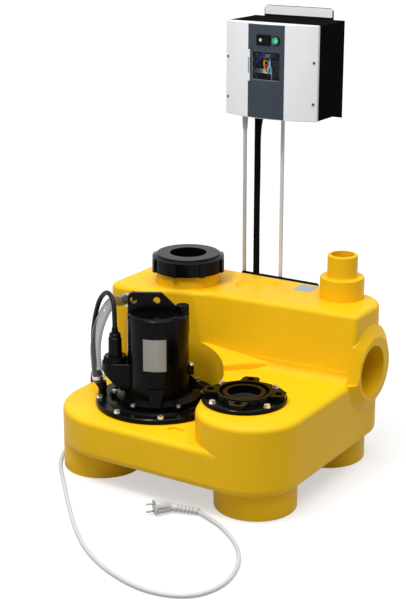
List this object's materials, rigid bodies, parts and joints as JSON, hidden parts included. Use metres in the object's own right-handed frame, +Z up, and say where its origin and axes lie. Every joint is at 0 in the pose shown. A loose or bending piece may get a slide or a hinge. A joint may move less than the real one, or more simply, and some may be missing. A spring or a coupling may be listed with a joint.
{
  "type": "sewage lifting station",
  "caption": "Floor-standing sewage lifting station: yellow moulded tank, vertical pump, flanged outlet, screw cap, side inlet, vent socket and a control unit on a post with mains lead and plug.",
  "frame": {"origin": "on the floor, in the middle of the footprint of tank, inlet port and post", "axes": "+Z up, +X along the tank towards the inlet port, +Y from the pump side to the rear wall with the post"},
  "size_m": [0.7442, 1.0151, 1.098],
  "materials": {
    "tank_plastic": "satin moulded",
    "black_plastic": "satin",
    "black_cast": "satin black enamel",
    "black_paint": "satin black",
    "rubber": "matt",
    "steel": "satin",
    "bright_steel": "polished",
    "plate_alu": "satin",
    "core_steel": "dull",
    "copper": "enamelled copper",
    "cast_grey": "coated",
    "clear_hose": "clear",
    "white_cord": "smooth",
    "pale_hose": "smooth",
    "white_plastic": "satin",
    "silver_cover": "fine satin silver",
    "slate_panel": "satin",
    "clear_window": "clear",
    "circuit": "lacquered",
    "terminal_grey": "satin",
    "relay_plastic": "satin",
    "capacitor_shell": "plain",
    "green_plastic": "gloss"
  },
  "bodies": {
    "station": {"tank_shell": "tank_plastic", "pump_gasket": "rubber", "pump_base_flange": "black_cast", "pump_flange_bolts": "steel", "motor_adapter": "black_cast", "adapter_screws": "steel", "motor_claws": "black_cast", "motor_housing": "black_cast", "lifting_lug": "black_cast", "motor_plate": "plate_alu", "stator_core": "core_steel", "stator_windings": "copper", "motor_bearings": "bright_steel", "shaft_seal": "rubber", "pump_casing": "cast_grey", "discharge_pipe": "cast_grey", "outlet_gasket": "rubber", "outlet_flange": "black_cast", "outlet_flange_bolts": "steel", "cable_gland_flange": "black_plastic", "cable_gland_body": "black_plastic", "pump_cable": "rubber", "vent_elbow": "black_plastic", "vent_hose": "clear_hose", "vent_barb": "black_plastic", "hose_clamps": "bright_steel", "level_bell": "black_plastic", "level_fitting": "black_plastic", "level_hose": "pale_hose", "post_bracket": "black_paint", "post": "black_paint", "post_caps": "black_plastic", "post_saddles": "black_plastic", "post_screws": "steel", "front_cover": "silver_cover", "cover_screws": "steel", "control_panel": "slate_panel", "unit_housing": "black_paint", "unit_back_plate": "black_paint", "circuit_board": "circuit", "terminal_blocks": "terminal_grey", "contactor": "relay_plastic", "run_capacitor": "capacitor_shell", "switch_bezel": "black_plastic", "button_bezel": "black_plastic", "flap_hinge": "slate_panel", "unit_glands": "black_plastic", "mains_lead": "white_cord", "plug_body": "white_plastic", "plug_pins": "bright_steel"},
    "rotor": {"rotor_core": "core_steel", "rotor_shaft": "bright_steel", "impeller": "cast_grey", "impeller_nut": "steel"},
    "lid": {"cap_lid": "black_plastic", "cap_seal": "rubber"},
    "cap": {"cap_ring": "black_plastic"},
    "rocker": {"selector_rocker": "black_plastic"},
    "button": {"reset_button": "green_plastic"},
    "flap": {"window_flap": "clear_window"}
  },
  "joints": [
    {"name": "pump_spin", "type": "hinge", "parent": "station", "child": "rotor", "pos_m": [-0.112, -0.10515, 0.13], "axis": [0, 0, 1], "continuous": true},
    {"name": "cap_lift", "type": "slide", "parent": "station", "child": "lid", "axis": [0, 0, 1], "range_m": [0, 0.0181]},
    {"name": "cap_turn", "type": "hinge", "parent": "lid", "child": "cap", "pos_m": [-0.181, 0.13585, 0.445], "axis": [0, 0, 1], "range_deg": [0, 1080]},
    {"name": "switch_rock", "type": "hinge", "parent": "station", "child": "rocker", "pos_m": [0.042, 0.12415, 1.033], "axis": [0, 0, 1], "range_deg": [-12, 12]},
    {"name": "button_push", "type": "slide", "parent": "station", "child": "button", "axis": [0, 1, 0], "range_m": [0, 0.003], "stiffness_N_per_m": 300, "springref_m": -0.002},
    {"name": "window_swing", "type": "hinge", "parent": "station", "child": "flap", "pos_m": [0.0031, 0.12214, 0.972], "axis": [0, 0, -1], "range_deg": [0, 100]}
  ],
  "couplings": [
    {"joint": "cap_lift", "follows": "cap_turn", "m_per_rad": 0.00095493}
  ]
}
